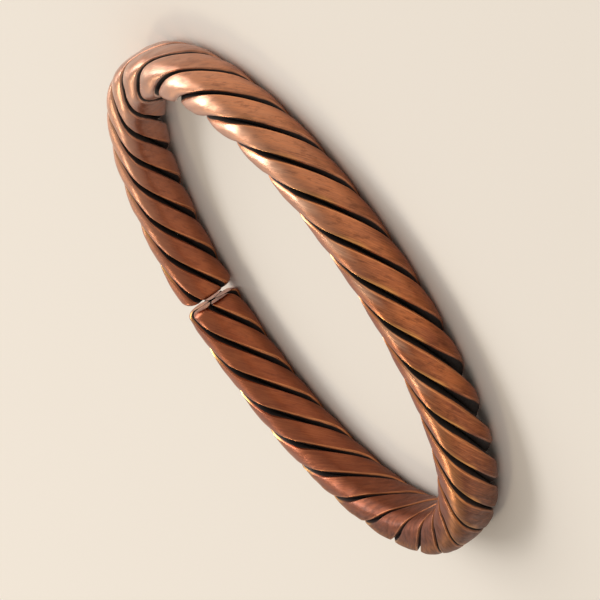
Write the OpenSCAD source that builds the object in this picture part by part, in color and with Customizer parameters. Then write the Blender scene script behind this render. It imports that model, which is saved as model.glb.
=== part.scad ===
// Twisted bangle. Five heavy copper wires are laid up left-handed into a rope, pressed
// between rollers so that their outer faces are flat, and bent round to an oval whose two
// plain ends meet. It lies on its side on Z = 0, with Z along the arm and its ends at +Y.
//
// The pressed section keeps one outline all the way round while the wires turn inside it,
// so a wire is swept through sections that are each worked out where they stand.

/* [Opening] */
// Width of the wrist opening, between the inner crests of the wires
opening_w = 61; // [45:0.5:80]
// Depth of the wrist opening, from the front to the ends
opening_d = 53; // [40:0.5:75]

/* [Rope] */
// Thickness of the pressed rope, away from the wrist
rope_t = 6; // [4:0.1:9]
// Width of the pressed rope, along the arm
rope_w = 7.2; // [4.5:0.1:11]
// How square the pressed section is, where 2 is an ellipse
squareness = 3; // [2:0.1:4]

/* [Twist] */
// Number of wires
wires = 5; // [3:1:7]
// Length of rope in which a wire goes once round, before the pattern is fitted to the loop
lay_length = 31; // [22:0.5:45]
// Where the first wire stands at the front, turned from the outside towards +Z
twist_front = 38; // [0:1:359]

/* [Grooves] */
// Width of the groove between two wires on the pressed outside, square to the wires
groove_w = 1.1; // [0.4:0.05:1.4]
// How many times wider the groove is on the sides of the rope, where the wires stay round
side_spread = 1.25; // [1:0.05:1.6]
// Depth at which two neighbouring wires close up
groove_depth = 1.2; // [0.5:0.05:1.6]
// Clearance between two wires below the groove
wire_gap = 0.12; // [0.06:0.01:0.25]
// Radius of the hollow that the wires leave along the middle of the rope
core_r = 0.75; // [0.5:0.05:1.2]

/* [Ends] */
// Gap where the two ends of the rope meet
end_gap = 1; // [0.4:0.2:30]
// Rounding of the rope's ends
end_round = 0.8; // [0.3:0.1:1.2]

/* [Detail] */
// Sections swept in each turn of a wire
turn_steps = 18; // [12:1:20]

/* [Hidden] */
copper = [0.74, 0.45, 0.29];

// Half sizes of the rope's section, its mean radius, and the oval of its centreline
half_t = rope_t / 2;
half_w = rope_w / 2;
rope_r = (half_t + half_w) / 2;
line_x = opening_w / 2 + half_t;
line_y = opening_d / 2 + half_t;

// Both closed curves are walked in even steps of angle, to find the angle at a given length:
// each length walked stands beside the angle that it reaches
walk_steps = 180;
walk_angle = 360 / walk_steps;
function walk(points) = [
    for (
        i = 0, s = 0;
        i <= walk_steps;
        s = s + norm(points[(i + 1) % walk_steps] - points[i]), i = i + 1
    )
        [s, i * walk_angle]
];

// Centreline by angle, from the ends at +Y and anticlockwise seen from above
function line_point(a) = [-line_x * sin(a), line_y * cos(a), half_w];
function line_outward(a) =
    let (n = [-line_y * sin(a), line_x * cos(a), 0])
    n / norm(n);
line_walk = walk([for (i = [0:walk_steps]) line_point(i * walk_angle)]);
loop_length = line_walk[walk_steps][0];

// Outline of the pressed rope, from its centre: X away from the wrist, Y along the arm
function pressed(a) =
    let (press = pow(pow(abs(cos(a)), squareness) + pow(abs(sin(a)), squareness), 1 / squareness))
    [half_t * cos(a), half_w * sin(a)] / press;
girth_walk = walk([for (i = [0:walk_steps]) pressed(i * walk_angle)]);
girth = girth_walk[walk_steps][0];
girth_r = girth / 2 / PI;

// The wires share the girth evenly, so a turn counts even steps of girth, 360 to the round
function rope_edge(turn) =
    let (part = turn / 360 - floor(turn / 360))
    pressed(lookup(part * girth, girth_walk));

// A whole number of wires crosses the outside, so the pattern runs on from end to end
crossings = round(wires * loop_length / lay_length);
pitch = wires * loop_length / crossings;
lay_angle = atan(girth / pitch);
function twist_at(s, wire) =
    twist_front + 360 * ((s - loop_length / 2) / pitch + wire / wires);

// A wire fills an equal sector of the rope, less half a groove on either side
half_sector = 180 / wires;
half_groove = groove_w / 2 / cos(lay_angle) / girth_r * 180 / PI;
function half_gap(share) = asin(wire_gap / 2 / (share * girth_r));

// Wall of a groove: [share of its half width, share of its depth on the pressed outside,
// share of its depth on the sides of the rope]
groove_wall = [
    [1, 0, 0.08],
    [0.7, 0.12, 0.26],
    [0.38, 0.5, 0.62],
    [0, 1, 1],
];

// Half of a wire's section beside a groove that stands at a turn, from the wire's face to
// the core: [angle from the wire's middle, share of the rope's radius]
core_share = core_r / rope_r;
face_point = 1 / 3; // share of the half face, from its middle, at which it has a corner
half_count = len(groove_wall) + 2;
count = 2 * half_count;
function half_section(groove_turn) =
    let (
        side = pow(sin(groove_turn), 2),
        spread = half_groove * (1 + side * (side_spread - 1))
    )
    concat(
        [[(half_sector - spread) * face_point, 1]],
        [
            for (row = groove_wall)
                let (
                    depth = groove_depth * (row[1] + side * (row[2] - row[1])),
                    share = 1 - depth / rope_r
                )
                [half_sector - max(row[0] * spread, half_gap(share)), share]
        ],
        [[half_sector - half_gap(core_share), core_share]]
    );

// The whole section: down one side of the wire and back up the other
function section(turn) =
    let (near = half_section(turn + half_sector), far = half_section(turn - half_sector))
    concat(near, [for (i = [half_count - 1:-1:0]) [-far[i][0], far[i][1]]]);

// Where the sections stand: [length along the centreline, share of the full section]
first_end = end_gap / 2;
last_end = loop_length - end_gap / 2;
straight_run = last_end - first_end - 2 * end_round;
run_steps = ceil(turn_steps * straight_run / pitch);
end_shares = [0, 0.3];
function end_size(x) = 1 - end_round / rope_r * (1 - sqrt(1 - pow(1 - x, 2)));
stations = concat(
    [for (x = end_shares) [first_end + x * end_round, end_size(x)]],
    [for (i = [0:run_steps]) [first_end + end_round + straight_run * i / run_steps, 1]],
    [for (i = [len(end_shares) - 1:-1:0])
        [last_end - end_shares[i] * end_round, end_size(end_shares[i])]]
);

// One section of a wire, in space
function wire_section(station, wire) =
    let (
        a = lookup(station[0], line_walk),
        centre = line_point(a),
        outward = line_outward(a),
        turn = twist_at(station[0], wire)
    )
    [
        for (corner = section(turn))
            let (edge = rope_edge(turn + corner[0]) * corner[1] * station[1])
            centre + outward * edge[0] + [0, 0, edge[1]]
    ];

// A wall between two sections is split along the same line on both sides of a wire, so
// that the walls of two neighbours stay an even gap apart
function wall_faces(i, j) =
    let (
        a = i * count + j,
        b = i * count + (j + 1) % count,
        c = a + count,
        d = b + count
    )
    j < half_count ? [[a, b, d], [a, d, c]] : [[a, b, c], [b, d, c]];

module wire(index) {
    points = [for (station = stations) each wire_section(station, index)];
    last = len(stations) - 1;
    walls = [for (i = [0:last - 1], j = [0:count - 1]) each wall_faces(i, j)];
    first_cap = [for (j = [count - 1:-1:0]) j];
    last_cap = [for (j = [0:count - 1]) last * count + j];
    color(copper)
        polyhedron(points = points, faces = concat([first_cap], walls, [last_cap]), convexity = 10);
}

for (i = [1:wires])
    wire(i - 1);
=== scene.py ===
# %% [markdown]
# # A twisted copper bangle
# Five heavy copper wires are twisted together like the strands of a rope, rolled flat on the
# outside and bent round into an oval. The solids behind this scene already have that shape in
# coarse facets, and they carry its size, its mass and its collision. Here each wire gets a
# fine surface over the same path, and the finish of copper that has been worn for years.

import math
from types import SimpleNamespace

import bpy
import numpy as np
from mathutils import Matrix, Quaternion, Vector


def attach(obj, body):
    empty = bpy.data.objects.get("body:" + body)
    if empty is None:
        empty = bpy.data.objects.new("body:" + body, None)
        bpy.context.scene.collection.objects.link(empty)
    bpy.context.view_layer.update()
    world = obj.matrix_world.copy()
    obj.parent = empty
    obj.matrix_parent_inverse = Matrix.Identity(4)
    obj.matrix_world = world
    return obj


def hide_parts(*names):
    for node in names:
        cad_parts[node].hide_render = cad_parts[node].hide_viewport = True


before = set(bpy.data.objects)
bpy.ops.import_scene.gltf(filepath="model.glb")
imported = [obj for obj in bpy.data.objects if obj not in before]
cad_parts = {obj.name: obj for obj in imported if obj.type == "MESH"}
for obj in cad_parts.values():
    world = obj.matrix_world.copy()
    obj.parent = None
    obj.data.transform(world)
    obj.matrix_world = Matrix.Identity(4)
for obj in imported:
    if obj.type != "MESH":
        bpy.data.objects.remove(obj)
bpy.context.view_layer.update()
print("solids", sorted(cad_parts))

# %% [markdown]
# ## Sizes
# These are the sizes that the solids were made with, in millimetres. A fine surface that
# follows the same numbers lies on the coarse one wherever it is looked at, so nothing has to
# be fitted by eye. The film is how far the fine surface keeps inside the solids, which leaves
# room for its own small bumps.

# %% Sizes of the bangle
opening_w, opening_d = 61.0, 53.0
rope_t, rope_w, squareness = 6.0, 7.2, 3.0
wires, lay_length, twist_front = 5, 31.0, math.radians(38)
groove_w, side_spread, groove_depth = 1.1, 1.25, 1.2
wire_gap, core_r = 0.12, 0.75
end_gap, end_round = 1.0, 0.8
film = 0.045

half_t, half_w = rope_t / 2, rope_w / 2
rope_r = (half_t + half_w) / 2
line_x, line_y = opening_w / 2 + half_t, opening_d / 2 + half_t
print("centreline half sizes", line_x, line_y, "mm")

# %% [markdown]
# ## The oval that the rope follows
# The maker bends the finished rope round an oval former, a little wider than deep. An even
# step of angle is not an even step along an oval, so the curve is first walked in short
# chords, and a place on it is then looked up by the length walked. It starts at the back,
# where the two ends meet, and runs anticlockwise seen from above.

# %% Walk the oval
def oval(angle):
    """Minus the half width times the sine of the angle, and the half depth times its cosine."""
    return np.stack([-line_x * np.sin(angle), line_y * np.cos(angle)], -1)


walk_points = 3601
angles = np.linspace(0, 2 * math.pi, walk_points)
chords = np.linalg.norm(np.diff(oval(angles), axis=0), axis=1)
walked = np.concatenate([[0.0], np.cumsum(chords)])
loop_length = walked[-1]


def stand(length):
    """The oval's point at a length walked, and the unit normal there that points outwards."""
    angle = np.interp(length, walked, angles)
    normal = np.stack([-line_y * np.sin(angle), line_x * np.cos(angle)], -1)
    return oval(angle), normal / np.linalg.norm(normal, axis=-1, keepdims=True)


print("rope length", round(loop_length, 1), "mm")

# %% [markdown]
# ## The pressed outline
# Rolling the rope between rollers flattens it on the outside and squares it up a little. The
# rolled outline is a superellipse, which is an ellipse with fuller corners. The wires are all
# of one thickness, so they share its girth evenly, and a turn here counts even steps of girth
# and not of angle. As with the oval, the outline is walked once and then looked up.

# %% Walk the outline
def pressed(angle):
    """The half sizes times cosine and sine of the angle, over the squareness norm of those two."""
    c, s = np.cos(angle), np.sin(angle)
    press = (np.abs(c) ** squareness + np.abs(s) ** squareness) ** (1 / squareness)
    return np.stack([half_t * c, half_w * s], -1) / press[..., None]


sides = np.linalg.norm(np.diff(pressed(angles), axis=0), axis=1)
girth_walked = np.concatenate([[0.0], np.cumsum(sides)])
girth = girth_walked[-1]
girth_r = girth / (2 * math.pi)


def outline(turn):
    """The pressed outline's point at a turn, which is a share of the girth times a full circle."""
    return pressed(np.interp(turn % (2 * math.pi) * girth_r, girth_walked, angles))


print("girth", round(girth, 1), "mm")

# %% [markdown]
# ## The lay of the rope
# The lay is how fast the wires turn round each other. Seen from the front these rise from
# lower left to upper right, which ropemakers call a left-hand lay. The length of one turn is
# trimmed so that a whole number of wires crosses the outside on the way round.

# %% Turn of each wire
crossings = round(wires * loop_length / lay_length)
pitch = wires * loop_length / crossings
lay_angle = math.atan(girth / pitch)


def twist(length, wire):
    """The turn at the front plus a full turn for each pitch walked, and an even share per wire."""
    return twist_front + 2 * math.pi * ((length - loop_length / 2) / pitch + wire / wires)


print("one turn in", round(pitch, 2), "mm, laid at", round(math.degrees(lay_angle), 1), "degrees")

# %% [markdown]
# ## Faces and the walls of grooves
# A wire fills one sector of the rope. Where the rolls pressed it, its face runs level until it
# nears a groove, then rolls over a tight shoulder and drops down a wall until it nearly meets
# its neighbour. On the sides of the rope, which the rolls barely touched, the face is rounder
# and the wall starts to fall sooner. Powers of the way across give both with one formula each.

# %% Face and wall
half_sector = math.pi / wires
half_groove = groove_w / 2 / math.cos(lay_angle) / girth_r
level_fall, round_power = 0.02, 2.4
wall_power, wall_power_less = 1.75, 0.35


def half_gap(share):
    """The turn that half the clearance between two wires takes up at a share of the radius."""
    return np.arcsin(wire_gap / 2 / (share * girth_r))


def crown(angle, roundness):
    """How far a face falls, in mm, by the share of the way out from its middle.

    A slight fall times the fourth power of that share, plus the roundness times a lower power."""
    way_out = np.abs(angle) / half_sector
    return level_fall * way_out ** 4 + roundness * way_out ** round_power


def wall(angle, spread, side):
    """0 on the face, then a power of the way in from the shoulder, to 1 in mid groove.

    The power is a little less on the sides of the rope."""
    way_in = np.clip(1 - (half_sector - np.abs(angle)) / spread, 0, 1)
    return way_in ** (wall_power - wall_power_less * side)


print("a groove takes", round(math.degrees(2 * half_groove), 1), "of", 360 // wires, "degrees")

# %% [markdown]
# ## Marks of the making
# Nothing on a twisted bangle is quite even. The rolls press one wire a little deeper than
# the next, and a groove opens and closes along its run. A few sine waves with chance
# directions and phases, summed, make such slow unevenness, and a fixed seed makes it the
# same each time. A Displace modifier with a noise texture could dent the mesh too, but these
# waves can also widen a groove.

# %% Slow unevenness
def unevenness(seed, along, across, longest, shortest, count=14):
    """The sum of sine waves over the root of their number.

    Their lengths lie between longest and shortest, and they run in all directions."""
    rng = np.random.default_rng(seed)
    length = shortest * (longest / shortest) ** rng.random(count)
    heading, phase = rng.random((2, count)) * 2 * math.pi
    waves = (
        along[..., None] * np.cos(heading) + across[..., None] * np.sin(heading)
    ) * 2 * math.pi / length + phase
    return np.sin(waves).sum(-1) / math.sqrt(count)


sample = unevenness(1, np.linspace(0, 200, 500), np.zeros(500), 12, 3)
print("unevenness from", round(sample.min(), 2), "to", round(sample.max(), 2))

# %% [markdown]
# ## One wire as a surface
# A wire is a surface of two parameters: how far along the rope, and where round the wire's own
# section. Both are plain arrays, so the whole wire comes out of one expression. A curve with
# a bevel could carry a section along the oval too, but it would keep one shape all the way,
# and here the section changes as the wire turns under the rolled outline. The rows stand
# evenly along the rope and close up at its ends, where a file has rounded them. The columns
# run from the core up one wall, over the face and down the other wall, and crowd together on
# the two shoulders, where the light catches. A power on the columns of a wall crowds them
# towards the shoulder.

# %% Rows along the rope, columns round the wire
row_step, filed_rows = 0.34, 9
face_columns, wall_columns, core_columns, wall_crowding = 15, 14, 3, 1.3
first_end, last_end = end_gap / 2, loop_length - end_gap / 2
filed = end_round * (1 - np.cos(np.linspace(0, math.pi / 2, filed_rows)))
middle = np.linspace(end_round, last_end - first_end - end_round,
                     round((last_end - first_end) / row_step))
rows = first_end + np.concatenate([filed[:-1], middle, last_end - first_end - filed[-2::-1]])

face_part = np.sin(np.linspace(0, math.pi / 2, face_columns))
wall_part = np.linspace(0, 1, wall_columns + 1)[1:] ** wall_crowding
core_part = np.linspace(0, 1, core_columns + 1)[1:]


def end_size(length):
    """A quarter round over the filed stretch at either end, and 1 between them."""
    from_end = np.minimum(length - first_end, last_end - length)
    x = np.clip(from_end / end_round, 0, 1)
    return 1 - end_round / rope_r * (1 - np.sqrt(1 - (1 - x) ** 2))


print(len(rows), "rows of", 2 * (len(face_part) + len(wall_part) + len(core_part)) - 1)

# %% [markdown]
# ## How wide the grooves stand
# Twisting and bending by eye leaves the grooves uneven along the rope. Here they are half
# open on the left turn and fully open on the left half of the front. To the right of it they
# are a little narrower, and narrower again where the right turn starts. On the left half they
# also gape on the lower side, where the wires have lifted off each other. On the right, the
# upper side keeps the wires' own round backs. A short table, one soft bump and one ramp say
# all that. Their places are millimetres along the rope from the middle of the front.

# %% Groove widths along the rope
from_front = (rows - loop_length / 2)[:, None]
table_places = [-78, -60, -33, -24, -8, 4, 28, 37, 55]
table_shares = [0.9, 0.5, 0.55, 1, 1, 0.85, 0.8, 0.6, 0.9]
share_open = np.interp(from_front, table_places, table_shares)
gape_place, gape_reach, gape_even, gape_low = -16, 10, 0.45, 0.55
gape = np.exp(-(((from_front - gape_place) / gape_reach) ** 2))
lobes_start, lobes_ramp = 12, 14
lobed = np.clip((from_front - lobes_start) / lobes_ramp, 0, 1)
low_spread, uneven_spread, uneven_longest, uneven_shortest = 0.25, 0.05, 40, 7
first_groove_seed = 40
side_round, high_less, high_lobe = 0.42, 0.22, 0.5


def groove_spread(groove, turn):
    """Half of a groove's width, as an angle, at its turn in each row.

    The pressed width times the share open there, more on the sides and the lower side, and
    times a slow unevenness and the gape, which is strongest on the lower side."""
    low, side = -np.sin(turn), np.sin(turn) ** 2
    seed = first_groove_seed + groove
    uneven = unevenness(seed, rows, np.zeros(len(rows)), uneven_longest, uneven_shortest)
    wider = 1 + (side_spread - 1) * side + low_spread * np.clip(low, 0, 1)
    return half_groove * share_open * wider * (
        1 + uneven_spread * uneven[:, None] + gape * (gape_even + gape_low * low))


def face_roundness(turn):
    """How round a face is, in mm: nothing where pressed, more on the sides, less on the upper
    side, and more again there where the wires keep their round backs."""
    side, high = np.sin(turn) ** 2, np.clip(np.sin(turn), 0, 1)
    return side * (side_round - high_less * high + high_lobe * high * lobed)


groove_turn = twist(rows, 0)[:, None] + half_sector
widths = 2 * groove_spread(0, groove_turn) * girth_r * math.cos(lay_angle)
print("grooves are", round(widths.min(), 2), "to", round(widths.max(), 2), "mm wide")

# %% [markdown]
# ## The section of a wire
# The section is worked out for one half at a time, because the two grooves beside a wire stand
# at different turns and so differ in width. Beside its place, each point keeps what the finish
# will ask for later: how deep it lies in the groove and how near it is to a shoulder, with a
# sign that tells the upper shoulder from the lower one.

# %% Section of a wire
shoulder_place, shoulder_width = 0.86, 0.17


def half_section(wire, way):
    """Angle from the wire's middle, depth, share of the wall and nearness to the shoulder.

    way is 1 for the groove above the wire and -1 for the one below. The face takes even shares
    of a sine on its way to the shoulder, the wall the rest of the way to the groove's middle,
    and the core follows the clearance."""
    groove_turn = twist(rows, wire)[:, None] + way * half_sector
    spread = groove_spread((wire + (way + 1) // 2) % wires, groove_turn)
    face = (half_sector - spread) * face_part
    down = half_sector - spread * (1 - wall_part)
    angle = np.concatenate([face, down], 1)
    round_off = crown(angle, face_roundness(groove_turn))
    fall = wall(angle, spread, np.sin(groove_turn) ** 2)
    depth = round_off + (groove_depth - round_off) * fall
    away = (half_sector - angle - shoulder_place * spread) * girth_r * math.cos(lay_angle)
    shoulder = np.exp(-((away / shoulder_width) ** 2))
    share = 1 - depth / rope_r
    angle = np.minimum(angle, half_sector - half_gap(share))
    core = share[:, -1:] + (core_r / rope_r - share[:, -1:]) * core_part
    angle = np.concatenate([angle, half_sector - half_gap(core)], 1)
    depth = np.concatenate([depth, (1 - core) * rope_r], 1)
    fall = np.concatenate([fall, np.ones_like(core)], 1)
    shoulder = np.concatenate([shoulder, np.zeros_like(core)], 1)
    return way * angle, depth, fall, way * shoulder


def section(wire):
    """The half below from the core to the face's middle, then the half above back down."""
    below, above = half_section(wire, -1), half_section(wire, 1)
    return [np.concatenate([b[:, :0:-1], a], 1) for b, a in zip(below, above)]


angle, depth, fall, shoulder = section(0)
print("a section has", angle.shape[1], "points and goes", round(depth.max(), 2), "mm deep")

# %% [markdown]
# ## Sweeping the section
# The section is carried along the oval and turned as it goes. Shallow dents from the rolls are
# pressed into the faces only. Dents and film both take metal away, so no point of the fine
# surface stands proud of the solid under it.

# %% Surface of a wire
dent_depth, dent_longest, dent_shortest = 0.028, 16, 2.2
first_dent_seed, grain_apart = 10, 9.0


def wire_surface(wire):
    """The oval's point, plus the outline's two parts: one along the normal, one along Z.

    The outline is taken at the wire's turn plus the section's angle, and shrunk by the depth.
    Two maps go with it: the place along, across and by wire, and the marks of wear."""
    angle, depth, fall, shoulder = section(wire)
    along = np.repeat(rows[:, None] / math.cos(lay_angle), angle.shape[1], 1)
    across = angle * girth_r * math.cos(lay_angle)
    dents = unevenness(first_dent_seed + wire, along, across, dent_longest, dent_shortest)
    dent = dent_depth * (1 + np.clip(dents, -1, 1)) * (1 - fall) ** 2
    share = (1 - (depth + dent + film) / rope_r) * end_size(rows)[:, None]
    turn = twist(rows, wire)[:, None] + angle
    edge = outline(turn) * share[..., None]
    centre, outward = stand(rows)
    flat = centre[:, None, :] + outward[:, None, :] * edge[..., :1]
    place = np.concatenate([flat, half_w + edge[..., 1:]], -1)
    grain = np.stack([along, across, np.full_like(along, grain_apart * wire)], -1)
    inward = (1 - np.cos(turn)) / 2
    wear = np.stack([shoulder, fall, inward], -1)
    return place, grain, wear


place, grain, wear = wire_surface(0)
print("wire_1 spans", np.ptp(place.reshape(-1, 3), axis=0).round(1), "mm")

# %% [markdown]
# ## From grid to faces
# The columns close on themselves round the wire. At each end the last row shrinks on to its
# own middle in a few rings and meets in one point, so the sawn face is closed without a seam.
# One large face could close an end as well, but a face with so many corners shades unevenly.
# The sawn faces are bare metal, so no groove or shoulder is marked there.

# %% Close the ends
ring_shares = np.array([0.93, 0.8, 0.55, 0.28])


def capped(grid, centres):
    """Rings from each end row in to its centre, a share of the way each, before and after."""
    rings = [c + (row - c) * ring_shares[:, None, None]
             for row, c in zip((grid[0], grid[-1]), centres)]
    return np.concatenate([rings[0][::-1], grid, rings[1]])


def wire_faces(n, m):
    """A quad between each two rows and columns, then a fan of triangles from either pole."""
    index = np.arange(n * m).reshape(n, m)
    following = np.roll(index, -1, 1)
    quads = np.stack([index[:-1], index[1:], following[1:], following[:-1]], -1)
    first = np.stack([np.full(m, n * m), index[0], following[0]], -1)
    last = np.stack([np.full(m, n * m + 1), following[-1], index[-1]], -1)
    return quads.reshape(-1, 4).tolist() + first.tolist() + last.tolist()


print("faces of a small wire", len(wire_faces(4, 3)))

# %% [markdown]
# ## The picture round a wire
# A game or a web page shows a finish as a picture that is wrapped round the piece. A wire is
# long and thin and a picture is square, so the surface is cut into a few strips that lie above
# each other. Blender can unwrap a mesh by itself, but it would waste most of the picture on so
# long a piece. The hidden walls are squeezed, which leaves more of the picture to the faces.

# %% Lay the surface out in strips
strips, strip_margin, hidden_squeeze = 6, 0.002, 0.85


def strip_places(rows_of_faces, width_shares, on, up):
    """Where a face's corners lie in the picture: its share of a strip across, its width share up.

    The rows of faces are cut into equal runs, one strip each, and the strips are stacked. on is
    0 or 1 for a corner's row, and up is 0 to 1 for the column's edge that it stands on."""
    row = np.arange(rows_of_faces)[:, None, None]
    run = math.ceil(rows_of_faces / strips)
    across = strip_margin + (1 - 2 * strip_margin) * (row % run + on) / run
    width = width_shares[:-1, None] * (1 - up) + width_shares[1:, None] * up
    upward = strip_margin * strips + (1 - 2 * strip_margin * strips) * width
    return np.stack(np.broadcast_arrays(across, (row // run + upward) / strips), -1)


def strip_map(place, wear):
    """Every corner's place in the picture, in the order of the faces.

    Each column is as wide as on the wire, less a share of how deep it lies in the groove."""
    closed = np.concatenate([place, place[:, :1]], 1)
    widths = np.linalg.norm(np.diff(closed, axis=1), axis=-1).mean(0)
    widths = widths * (1 - hidden_squeeze * wear[..., 1].mean(0))
    shares = np.concatenate([[0.0], np.cumsum(widths)]) / widths.sum()
    rows_of_faces = len(place) + 2 * len(ring_shares) + 1
    quads = strip_places(rows_of_faces, shares, np.array([0, 1, 1, 0]), np.array([0, 0, 1, 1]))
    first = strip_places(rows_of_faces, shares, np.array([0, 1, 1]), np.array([0.5, 0, 1]))[0]
    last = strip_places(rows_of_faces, shares, np.array([1, 0, 0]), np.array([0.5, 1, 0]))[-1]
    return np.concatenate([part.reshape(-1, 2) for part in (quads[1:-1], first, last)])


spots = strip_map(place, wear)
print("picture used from", spots.min(0).round(3), "to", spots.max(0).round(3))

# %% [markdown]
# ## Filling the mesh
# The points go in row by row with a pole for each end, in metres. The two maps of marks are
# stored as attributes of the points, where the finish can read them.

# %% Fill a mesh
def fill_mesh(name, place, grain, wear):
    """The capped rows of points and the two poles, with their faces, marks and picture map."""
    spots = strip_map(place, wear)
    poles = np.stack([place[0].mean(0), place[-1].mean(0)])
    place, grain = capped(place, poles), capped(grain, grain[[0, -1]])
    wear = capped(wear, np.zeros((2, 3)))
    wear[:len(ring_shares)] = wear[-len(ring_shares):] = 0
    n, m = place.shape[:2]
    points = np.concatenate([place.reshape(-1, 3), poles]) / 1000
    mesh = bpy.data.meshes.new(name)
    mesh.from_pydata(points, [], wire_faces(n, m))
    mesh.uv_layers.new(name="OFBake").data.foreach_set("uv", spots.astype(np.float32).ravel())
    for label, values in (("grain", grain), ("wear", wear)):
        ends = np.stack([values[0].mean(0), values[-1].mean(0)])
        layer = mesh.attributes.new(label, "FLOAT_VECTOR", "POINT")
        values = np.concatenate([values.reshape(-1, 3), ends])
        layer.data.foreach_set("vector", values.astype(np.float32).ravel())
    mesh.shade_smooth()
    return mesh


mesh = fill_mesh("trial", place, grain, wear)
print("a wire has", len(mesh.vertices), "points and", len(mesh.polygons), "faces")
bpy.data.meshes.remove(mesh)

# %% [markdown]
# ## Shader maths
# A finish is arithmetic on patterns. One small class wraps a socket, so that an expression
# such as 1 - groove * 0.8 adds its own Math nodes, and one method adds any other node.

# %% A socket that can be reckoned with
class Shade:
    """One output socket of a finish. Python's operators on it add Math nodes."""

    def __init__(self, tree, socket=None):
        self.tree, self.socket = tree, socket

    def node(self, kind, settings=None, sockets=None, out=0):
        """Adds a node of a kind, sets its settings, then the values or links of its sockets."""
        made = self.tree.nodes.new("ShaderNode" + kind)
        for name, value in (settings or {}).items():
            setattr(made, name, value)
        for name, value in (sockets or {}).items():
            if isinstance(value, Shade):
                self.tree.links.new(value.socket, made.inputs[name])
            else:
                made.inputs[name].default_value = value
        return Shade(self.tree, made.outputs[out] if made.outputs else None)

    def math(self, operation, a, b):
        """A Math node with that operation on two values."""
        return self.node("Math", {"operation": operation}, {0: a, 1: b})

    def __add__(self, other):
        return self.math("ADD", self, other)

    def __sub__(self, other):
        return self.math("SUBTRACT", self, other)

    def __rsub__(self, other):
        return self.math("SUBTRACT", other, self)

    def __mul__(self, other):
        return self.math("MULTIPLY", self, other)

    def __neg__(self):
        return self.math("MULTIPLY", self, -1.0)

    __radd__, __rmul__ = __add__, __mul__

    def between(self, low, high):
        """0 below low, 1 above high and a smooth step from one to the other."""
        settings = {"interpolation_type": "SMOOTHSTEP"}
        return self.node("MapRange", settings, {"Value": self, "From Min": low, "From Max": high})

    def mix(self, a, b):
        """Colour a where this value is 0 and colour b where it is 1.

        A Mix node has the factor at 0, its two colours at 6 and 7, and gives its colour at 2."""
        settings = {"data_type": "RGBA", "clamp_factor": True}
        return self.node("Mix", settings, {0: self, 6: a, 7: b}, out=2)

    def cloud(self, x, y, z, scale=1.0, detail=3.0, rough=0.55):
        """Soft noise from 0 to 1 on this vector, each part of it first multiplied by its own
        number, so that a small number draws the patches out that way."""
        drawn = self.node("VectorMath", {"operation": "MULTIPLY"}, {0: self, 1: (x, y, z)})
        sockets = {"Vector": drawn, "Scale": scale, "Detail": detail, "Roughness": rough}
        return self.node("TexNoise", {}, sockets)

    def parts(self):
        """The three parts of this vector."""
        split = self.node("SeparateXYZ", {}, {0: self})
        return [Shade(self.tree, s) for s in split.socket.node.outputs]


def paint(red, green, blue):
    """A screen colour from 0 to 255, in the straight light values that shaders use."""
    c = np.array([red, green, blue]) / 255
    light = np.where(c <= 0.04045, c / 12.92, ((c + 0.055) / 1.055) ** 2.4)
    return (*light.tolist(), 1.0)


print("worn copper in light values", [round(x, 3) for x in paint(205, 128, 84)])

# %% [markdown]
# ## Where a bangle wears, and where light and shade are painted
# A bangle doesn't age evenly, and light falls on it unevenly too, which is painted in here. Its
# shoulders are rubbed bright and also carry painted highlights, and so do the upper rim, with
# pale and golden painted highlights, and a band below the rim, with golden strokes of painted
# highlight. The right half is painted lighter and the left half darker. The inside and the
# underside carry painted reflection, the far right painted shade, and the far left painted
# shade and a duller surface. So the finish first asks where a point is. The answers are masks,
# 1 at the place and fading to 0 round it. They come from the bangle's own coordinates and from
# the marks that each wire carries. Weights could be painted on the mesh by hand, but a step in
# a coordinate is easier to move.

# %% Masks of places
def places(start):
    """Smooth steps in height, in length to the right, and in the marks of the wires.

    Height is a share of the rope's width. The product of two steps marks a band."""
    marks = start.node("Attribute", {"attribute_name": "wear"}, out="Vector")
    edge, fall, inward = marks.parts()
    x, _, z = start.node("TexCoord", {}, out="Object").parts()
    height = z * (1000 / rope_w)
    upper_edge, lower_edge = edge.between(0, 1), (-edge).between(0, 1)
    return SimpleNamespace(
        fall=fall,
        upper_edge=upper_edge,
        lower_edge=lower_edge,
        shoulder=upper_edge + lower_edge,
        inside=inward.between(0.4, 0.6),
        outside=1 - inward.between(0.3, 0.5),
        upper=height.between(0.5, 0.74),
        high=height.between(0.72, 0.98),
        rim=height.between(0.8, 0.94),
        crest=height.between(0.8, 0.97),
        stroke=height.between(0.5, 0.66) * (1 - height.between(0.8, 0.96)),
        low=1 - height.between(0.02, 0.3),
        right=x.between(-0.005, 0.036),
        far_right=x.between(0.0305, 0.0365),
        right_of_front=x.between(-0.02, -0.004),
        left=1 - x.between(-0.036, -0.004),
        # Painted shade on the far left, which is also made duller, with more roughness and less
        # coat.
        dull_and_shaded=1 - x.between(-0.035, -0.020),
    )


trial = bpy.data.materials.new("trial")
trial.use_nodes = True
start = Shade(trial.node_tree)
at = places(start)
print("places:", ", ".join(vars(at)))

# %% [markdown]
# ## Patterns in the metal
# Drawing a wire through a die leaves fine lines along it, and years of use add smudges and
# specks. All of them are clouds of noise on the map of the wire, drawn out along it as far as
# the real mark is. A picture of real metal could be wrapped round instead, but it would repeat
# on so long a wire. Numbers are patches per millimetre: along the wire, then across it.

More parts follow.
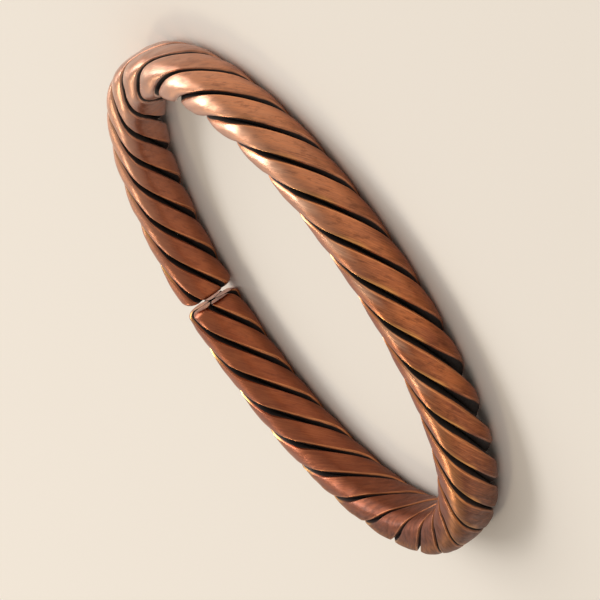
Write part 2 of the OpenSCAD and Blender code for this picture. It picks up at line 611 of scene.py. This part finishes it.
# %% Clouds of noise
def patterns(grain):
    """Five clouds on the wire's own map, from the longest and finest to small specks."""
    return SimpleNamespace(
        streaks=grain.cloud(0.3, 7.0, 1.0, detail=4.0, rough=0.6),
        scratches=grain.cloud(0.12, 22.0, 1.0, detail=2.0, rough=0.5),
        patches=grain.cloud(0.16, 0.42, 1.0, detail=4.0, rough=0.6),
        smudges=grain.cloud(0.5, 1.1, 1.0, detail=5.0, rough=0.65),
        specks=grain.cloud(0.7, 5.0, 1.0, detail=3.0, rough=0.5),
    )


wire_map = start.node("Attribute", {"attribute_name": "grain"}, out="Vector")
on = patterns(wire_map)
print("clouds:", ", ".join(vars(on)))

# %% [markdown]
# ## Colours of worn copper
# New copper is bright and pink. Air turns it orange, then brown, and in a groove that no cloth
# reaches it goes black. Rubbing keeps the faces a warm satin brown and polishes the shoulders.
# Over these tones go painted light and shade: painted highlights in pale and golden tones on the
# shoulders, the upper rim and a band below it, a painted lighter right half, painted reflection on
# the inside and the underside, and painted shade on each face, the left half and the far right.
# The colour is built up as a painter would, one thin coat over the next, where each coat is a mask
# and a paint. One colour ramp could hold so many tones, but it would tie them to one pattern. The
# black of the grooves comes last and covers the rest.

# %% Coats of colour
def copper_colour(at, on, across):
    """The brown of the faces with each coat mixed over it, then the black where walls fall.

    Also gives the masks that the shine needs: black, smudge, pit, tip and gold."""
    smudge = on.smudges.between(0.5, 0.66) * (1 - at.shoulder)
    pit = on.specks.between(0.52, 0.72)
    # Strength of the painted highlights and of the rubbed shoulders: weaker on the dull, shaded
    # far left, and varying along the drawn lines.
    rubbed_and_lit = (1 - at.dull_and_shaded * 0.75) * (0.4 + on.streaks.between(0.3, 0.6) * 0.5)
    # Painted highlight: pale tips on the upper rim, near the front.
    tip = (-across).between(-0.2, 0.8) * at.crest * at.outside * at.right_of_front * rubbed_and_lit
    # Painted highlight: golden lines on the upper shoulders.
    line = at.upper_edge * at.upper * at.outside * rubbed_and_lit
    # Painted highlight: golden upper rim on the left.
    gold = at.rim * at.outside * at.left * rubbed_and_lit
    not_right = 1 - at.right
    # Painted shade: the upper half of each face darker, in smudgy patches, below the high side.
    painted_shade = across.between(-0.1, 1.3) * on.smudges.between(0.3, 0.56) * (1 - at.high)
    # Painted highlight: golden strokes below the rim, off the right half.
    stroke = across.between(0.75, 1.2) * at.stroke * at.outside * rubbed_and_lit * not_right
    coats = [
        (at.right * 0.7, paint(226, 158, 116)),  # painted light: the right half paler
        (at.left * 0.85, paint(110, 60, 38)),  # painted shade: the left half darker and browner
        (smudge * 0.5, paint(104, 58, 36)),  # smudges
        (painted_shade * 0.45, paint(110, 60, 34)),  # painted shade: the upper half of each face darker
        (on.streaks.between(0.42, 0.66) * 0.5, paint(226, 142, 90)),  # bright drawn lines
        (pit * 0.25, paint(96, 54, 36)),  # specks
        (at.inside * 0.6, paint(158, 84, 54)),  # painted reflection: the inner side darker and redder
        (at.high * at.right * 0.5, paint(240, 190, 158)),  # pale top of the right half: polished copper, and painted highlight
        (at.far_right * 0.6, paint(150, 100, 76)),  # painted shade: the far right browner and darker
        (at.low * 0.4, paint(214, 152, 122)),  # painted reflection: the underside paler and pinker
        (at.dull_and_shaded * (0.6 + on.smudges.between(0.4, 0.6) * 0.3), paint(84, 46, 32)),  # painted shade: the far left darker, deeper in smudges
        (at.lower_edge * rubbed_and_lit, paint(238, 156, 100)),  # lower shoulders: rubbed bright, and painted highlight
        (tip * 0.6, paint(255, 208, 174)),  # painted highlight: pale tips on the upper rim
        (line * not_right, paint(255, 196, 112)),  # painted highlight: golden lines on the upper shoulders
        (stroke * 0.85, paint(250, 176, 100)),  # painted highlight: golden strokes below the rim
        (gold * 0.65, paint(250, 172, 98)),  # painted highlight: golden upper rim on the left
    ]
    face = on.patches.between(0.36, 0.64).mix(paint(200, 116, 68), paint(158, 88, 58))
    for mask, colour in coats:
        face = mask.mix(face, colour)
    black = (at.fall + (on.smudges - 0.5) * 0.16).between(0.08, 0.21)
    colour = black.mix(face, at.dull_and_shaded.mix(paint(26, 14, 10), paint(50, 28, 20)))
    return colour, SimpleNamespace(black=black, smudge=smudge, pit=pit, tip=tip, gold=gold)


colour, marks = copper_colour(at, on, wire_map.parts()[1])
print("a colour made of", len(trial.node_tree.nodes), "nodes, with marks:", ", ".join(vars(marks)))
bpy.data.materials.remove(trial)

# %% [markdown]
# ## Shine of worn copper
# Brushed copper is a metal with a satin shine, and its black is a dull crust that is hardly
# metal at all. Over both lies a thin layer of wax and polish, which gives whiter lights than
# bare copper would. It is the clear coat here, thickest on the right, where the bangle is
# rubbed most. Fine lines and pits go into a bump, whose heights are in millimetres.

# %% Finish of the copper
def copper_finish():
    """Brushed, tarnished copper: colour, roughness, metal, coat and bump from the same masks.

    Smudges, pits, black and the dull, shaded far left add roughness, and the shoulders, the
    painted pale tips and the painted golden rim take it off."""
    material = bpy.data.materials.new("worn_copper")
    material.use_nodes = True
    tree = material.node_tree
    tree.nodes.clear()
    start = Shade(tree)
    grain = start.node("Attribute", {"attribute_name": "grain"}, out="Vector")
    at, on = places(start), patterns(grain)
    colour, marks = copper_colour(at, on, grain.parts()[1])
    rough = 0.35 + (on.streaks - 0.5) * 0.3 + marks.smudge * 0.12 + marks.pit * 0.1
    rough = rough - at.shoulder * 0.1 + at.right * 0.04 - marks.tip * 0.06 - marks.gold * 0.12
    rough = rough + marks.black * 0.35 + at.dull_and_shaded * 0.18
    height = on.scratches * 0.008 + on.streaks * 0.012 + on.smudges * 0.02 - marks.pit * 0.012
    bump = start.node("Bump", {}, {"Strength": 1.0, "Distance": 0.001, "Height": height})
    coat = (1 - marks.black * 0.9) * (1 - at.dull_and_shaded * 0.8) * (0.34 + at.right * 0.45)
    shader = start.node("BsdfPrincipled", {}, {
        "Base Color": colour,
        "Metallic": 1 - marks.black * 0.85,
        "Roughness": rough,
        "Normal": bump,
        "Coat Weight": coat,
        "Coat Roughness": 0.28,
    })
    start.node("OutputMaterial", {}, {"Surface": shader})
    return material


worn_copper = copper_finish()
print("finish made of", len(worn_copper.node_tree.nodes), "nodes")

# %% [markdown]
# ## The five wires
# Each wire takes the place of the solid of the same number, rides with the bangle and has its
# own marks, because every wire was drawn and twisted by itself.

# %% Make the wires
for wire in range(wires):
    mesh = fill_mesh(f"copper_wire_{wire + 1}", *wire_surface(wire))
    mesh.materials.append(worn_copper)
    piece = bpy.data.objects.new(mesh.name, mesh)
    bpy.context.scene.collection.objects.link(piece)
    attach(piece, "root")
    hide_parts(f"wire_{wire + 1}")
    print(piece.name, len(mesh.polygons), "faces")

# %% [markdown]
# ## Floor
# The bangle lies on a matt floor of pale cream. Polished metal shows what stands round it, and
# the faces here mirror the floor before them, so its tone sets theirs. It reaches far enough
# that no view sees its edge close by.

# %% Floor
def floor_finish():
    """Matt cream with the faintest cloud in its colour."""
    material = bpy.data.materials.new("cream_floor")
    material.use_nodes = True
    tree = material.node_tree
    tree.nodes.clear()
    start = Shade(tree)
    spot = start.node("TexCoord", {}, out="Object")
    cloud = spot.cloud(1.0, 1.0, 1.0, scale=6.0)
    colour = cloud.mix(paint(243, 236, 225), paint(241, 233, 222))
    shader = start.node("BsdfPrincipled", {}, {
        "Base Color": colour,
        "Roughness": 0.7,
        "Specular IOR Level": 0.2,
    })
    start.node("OutputMaterial", {}, {"Surface": shader})
    return material


reach = 6.0
corners = [(-reach, -reach, 0), (reach, -reach, 0), (reach, reach, 0), (-reach, reach, 0)]
mesh = bpy.data.meshes.new("floor")
mesh.from_pydata(corners, [], [(0, 1, 2, 3)])
mesh.materials.append(floor_finish())
floor = bpy.data.objects.new("floor", mesh)
bpy.context.scene.collection.objects.link(floor)
print("floor", 2 * reach, "m square")

# %% [markdown]
# ## Light
# The room gives an even pale light. Bright lines on the shoulders need a lamp where the
# shoulders mirror it, and that is behind and above the bangle. A soft box behind it to the
# right lights the lower shoulders, another on the right whitens the right turn, and a small
# warm one behind it to the left draws the golden lines on the upper shoulders. A picture of a
# studio could light the scene too, but lamps can be moved one by one.

# %% Lamps and room
middle_of_bangle = Vector((0, 0, half_w / 1000))


def lamp(name, place, width, height, watts, tint):
    """A soft box at a place, turned to face the bangle."""
    data = bpy.data.lights.new(name, "AREA")
    data.shape, data.size, data.size_y = "RECTANGLE", width, height
    data.energy, data.color = watts, tint
    box = bpy.data.objects.new(name, data)
    box.location = place
    box.rotation_euler = (middle_of_bangle - Vector(place)).to_track_quat("-Z", "Y").to_euler()
    bpy.context.scene.collection.objects.link(box)


white, warm = (1.0, 0.99, 0.98), (1.0, 0.86, 0.62)
lamp("back_box", (0.95, 2.0, 1.95), width=1.4, height=0.8, watts=30.0, tint=white)
lamp("right_box", (2.0, 1.45, 1.3), width=1.4, height=2.0, watts=28.0, tint=white)
lamp("gold_box", (-1.0, 1.7, 1.85), width=0.3, height=0.6, watts=9.0, tint=warm)
world = bpy.data.worlds.new("room")
bpy.context.scene.world = world
world.use_nodes = True
room = world.node_tree.nodes["Background"]
room.inputs["Color"].default_value = paint(238, 233, 228)
room.inputs["Strength"].default_value = 0.58

# %% [markdown]
# ## Camera
# The camera stands at the photograph's angle to the bangle, a little above its plane. The
# bangle stands obliquely in that picture, so the camera is rolled by the same angle about its
# own line of sight. The place gives the perspective and the lens only the size in the frame,
# so the lens here is longer than the photograph's and the bangle fills the picture.

# %% Camera
stand_point = Vector((161.0, -658.4, 228.3)) / 1000 + middle_of_bangle
roll, lens = math.radians(-125.4), 350
camera = bpy.data.objects.new("camera", bpy.data.cameras.new("camera"))
camera.data.lens = lens
camera.location = stand_point
aim = (middle_of_bangle - stand_point).to_track_quat("-Z", "Y")
camera.rotation_euler = (aim @ Quaternion((0, 0, 1), roll)).to_euler()
bpy.context.scene.collection.objects.link(camera)
bpy.context.scene.camera = camera
bpy.context.scene.view_settings.view_transform = "Standard"
print("camera at", [round(x, 3) for x in stand_point], "m")

# %% [markdown]
# ## Size against the solids
# The fine surfaces must not be larger than the solids, and the film and the dents keep them
# inside.
